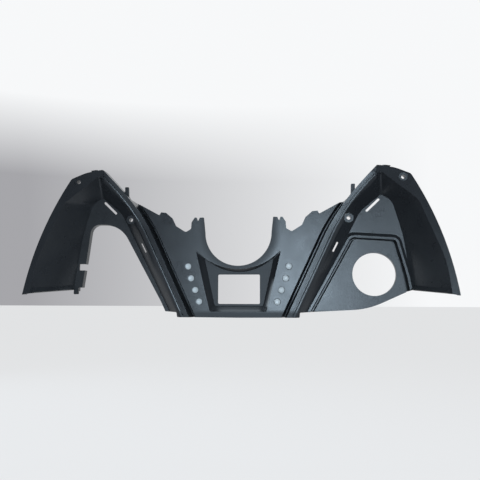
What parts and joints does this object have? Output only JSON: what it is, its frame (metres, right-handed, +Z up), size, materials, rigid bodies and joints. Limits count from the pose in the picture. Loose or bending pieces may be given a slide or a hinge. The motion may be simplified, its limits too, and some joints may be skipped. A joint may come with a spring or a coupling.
{
  "type": "scooter inner panel",
  "caption": "Dark moulded inner panel for a scooter's leg shield: console with windowed pocket and rows of dimples, railed knee wells, an open arch and a round-holed plate.",
  "frame": {"origin": "midway between the seats of the two upper screws, on the seats' plane", "axes": "+X to the rider's right, +Y forward away from the rider, +Z up"},
  "size_m": [0.5674, 0.0788, 0.2057],
  "materials": {
    "panel_plastic": "satin, fine moulded grain"
  },
  "bodies": {
    "root": {"inner_panel": "panel_plastic"}
  },
  "joints": []
}
